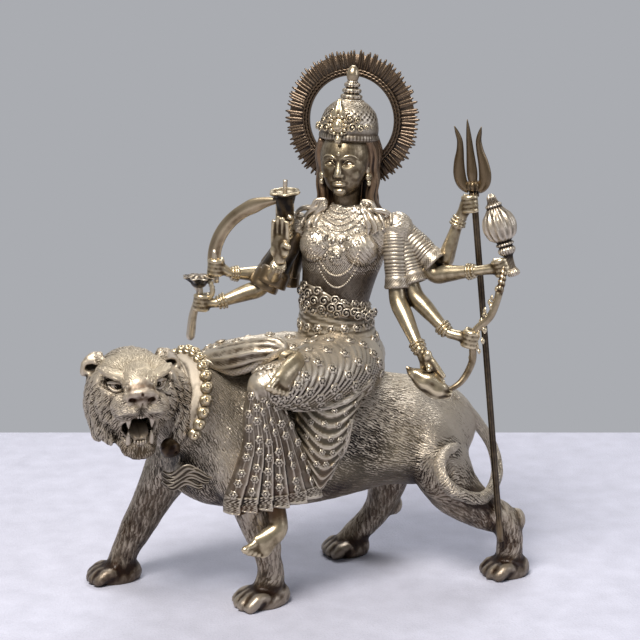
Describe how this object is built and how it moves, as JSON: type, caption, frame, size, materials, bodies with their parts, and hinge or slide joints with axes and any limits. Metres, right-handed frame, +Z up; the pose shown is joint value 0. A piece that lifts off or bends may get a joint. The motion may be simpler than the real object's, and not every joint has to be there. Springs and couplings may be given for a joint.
{
  "type": "durga figure",
  "caption": "Eight-armed goddess seated on a walking, roaring lion, hollow-cast bronze, with a rayed halo behind the head and a long trident in one hand.",
  "frame": {"origin": "on the floor, under the middle of the whole group's bounding box", "axes": "+Z up; the lion walks towards -X; -Y is its near side, the side the goddess's feet hang down"},
  "size_m": [0.4626, 0.1908, 0.5419],
  "materials": {
    "aged_bronze": "cast, polished on the raised skin, grey patina in the worked areas",
    "dark_bronze": "cast, dark brown patina with rubbed ridges",
    "rod_bronze": "cast, dark, satin"
  },
  "bodies": {
    "root": {"durga_on_lion": "aged_bronze", "halo": "dark_bronze", "trident": "rod_bronze"}
  },
  "joints": []
}
